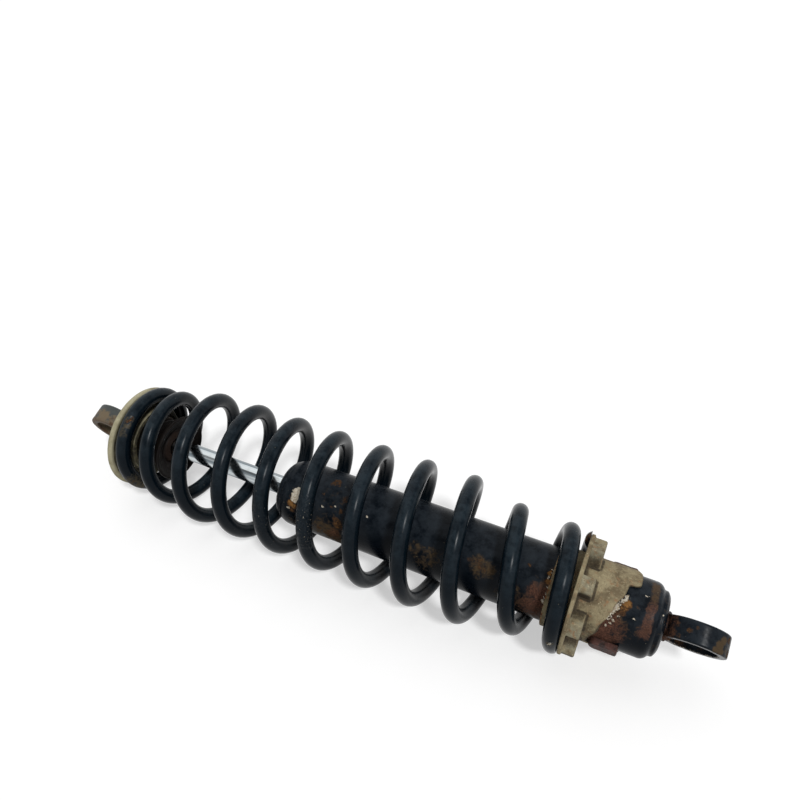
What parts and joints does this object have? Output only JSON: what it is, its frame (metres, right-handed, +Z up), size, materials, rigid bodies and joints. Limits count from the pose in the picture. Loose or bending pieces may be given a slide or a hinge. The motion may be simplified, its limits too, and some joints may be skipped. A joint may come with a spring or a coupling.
{
  "type": "coil-over rear shock absorber",
  "caption": "Coil-over rear shock absorber with a mounting eye at each end, a rod sliding in a damper tube and a stepped spring preload collar.",
  "frame": {"origin": "on the floor, midway between the two eyes, under the damper's axis", "axes": "+X from the rod eye to the body eye along the damper's axis, +Z up as the shock lies on its spring, +Y to the far side of the picture's view"},
  "size_m": [0.3558, 0.0714, 0.0709],
  "materials": {
    "black_paint": "semi-gloss black paint, rust-blistered",
    "spring_paint": "semi-gloss blue-black paint",
    "rusty_steel": "rusted",
    "steel": "machined",
    "chrome_rod": "hard chrome, polished",
    "cast_aluminium": "cast",
    "bronze": "sintered bronze",
    "collar_cast": "dirty cast alloy with crust at the edges",
    "seat_plastic": "aged moulded plastic",
    "dusty_rubber": "dusty",
    "seal_rubber": "oily",
    "band_plastic": "filled PTFE band"
  },
  "bodies": {
    "damper": {"outer_tube": "black_paint", "base_cap": "black_paint", "body_eye": "black_paint", "stop_lug_front": "rusty_steel", "stop_lug_rear": "rusty_steel", "inner_cylinder": "steel", "rod_guide": "cast_aluminium", "guide_bush": "bronze", "guide_o_ring": "seal_rubber", "oil_seal": "seal_rubber", "dust_wiper": "seal_rubber", "base_valve_body": "cast_aluminium", "base_valve_pin": "steel", "base_valve_shims": "steel", "base_valve_nut": "steel"},
    "rod": {"piston_rod": "chrome_rod", "rebound_stop": "seal_rubber", "rebound_washer": "steel", "compression_shims": "steel", "piston": "steel", "piston_band": "band_plastic", "rebound_shims": "steel", "piston_nut": "steel", "rod_eye": "rusty_steel", "seat_washer": "steel", "rod_spring_seat": "seat_plastic", "lock_nut": "steel", "bump_washer": "steel", "bump_stop": "dusty_rubber"},
    "spring": {"coil_spring": "spring_paint"},
    "collar": {"preload_collar": "collar_cast"}
  },
  "joints": [
    {"name": "rod_slide", "type": "slide", "parent": "damper", "child": "rod", "axis": [1, 0, 0], "range_m": [0, 0.072], "stiffness_N_per_m": 17000, "springref_m": -0.01, "deforming": ["coil_spring"]},
    {"name": "preload_lift", "type": "slide", "parent": "damper", "child": "spring", "axis": [-1, 0, 0], "range_m": [0, 0.0102], "deforming": ["coil_spring"]},
    {"name": "preload_turn", "type": "hinge", "parent": "spring", "child": "collar", "pos_m": [0.1107, 0, 0.0322], "axis": [1, 0, 0], "range_deg": [0, 92.1]}
  ],
  "couplings": [
    {"joint": "preload_turn", "follows": "preload_lift", "rad_per_m": 157.59}
  ]
}
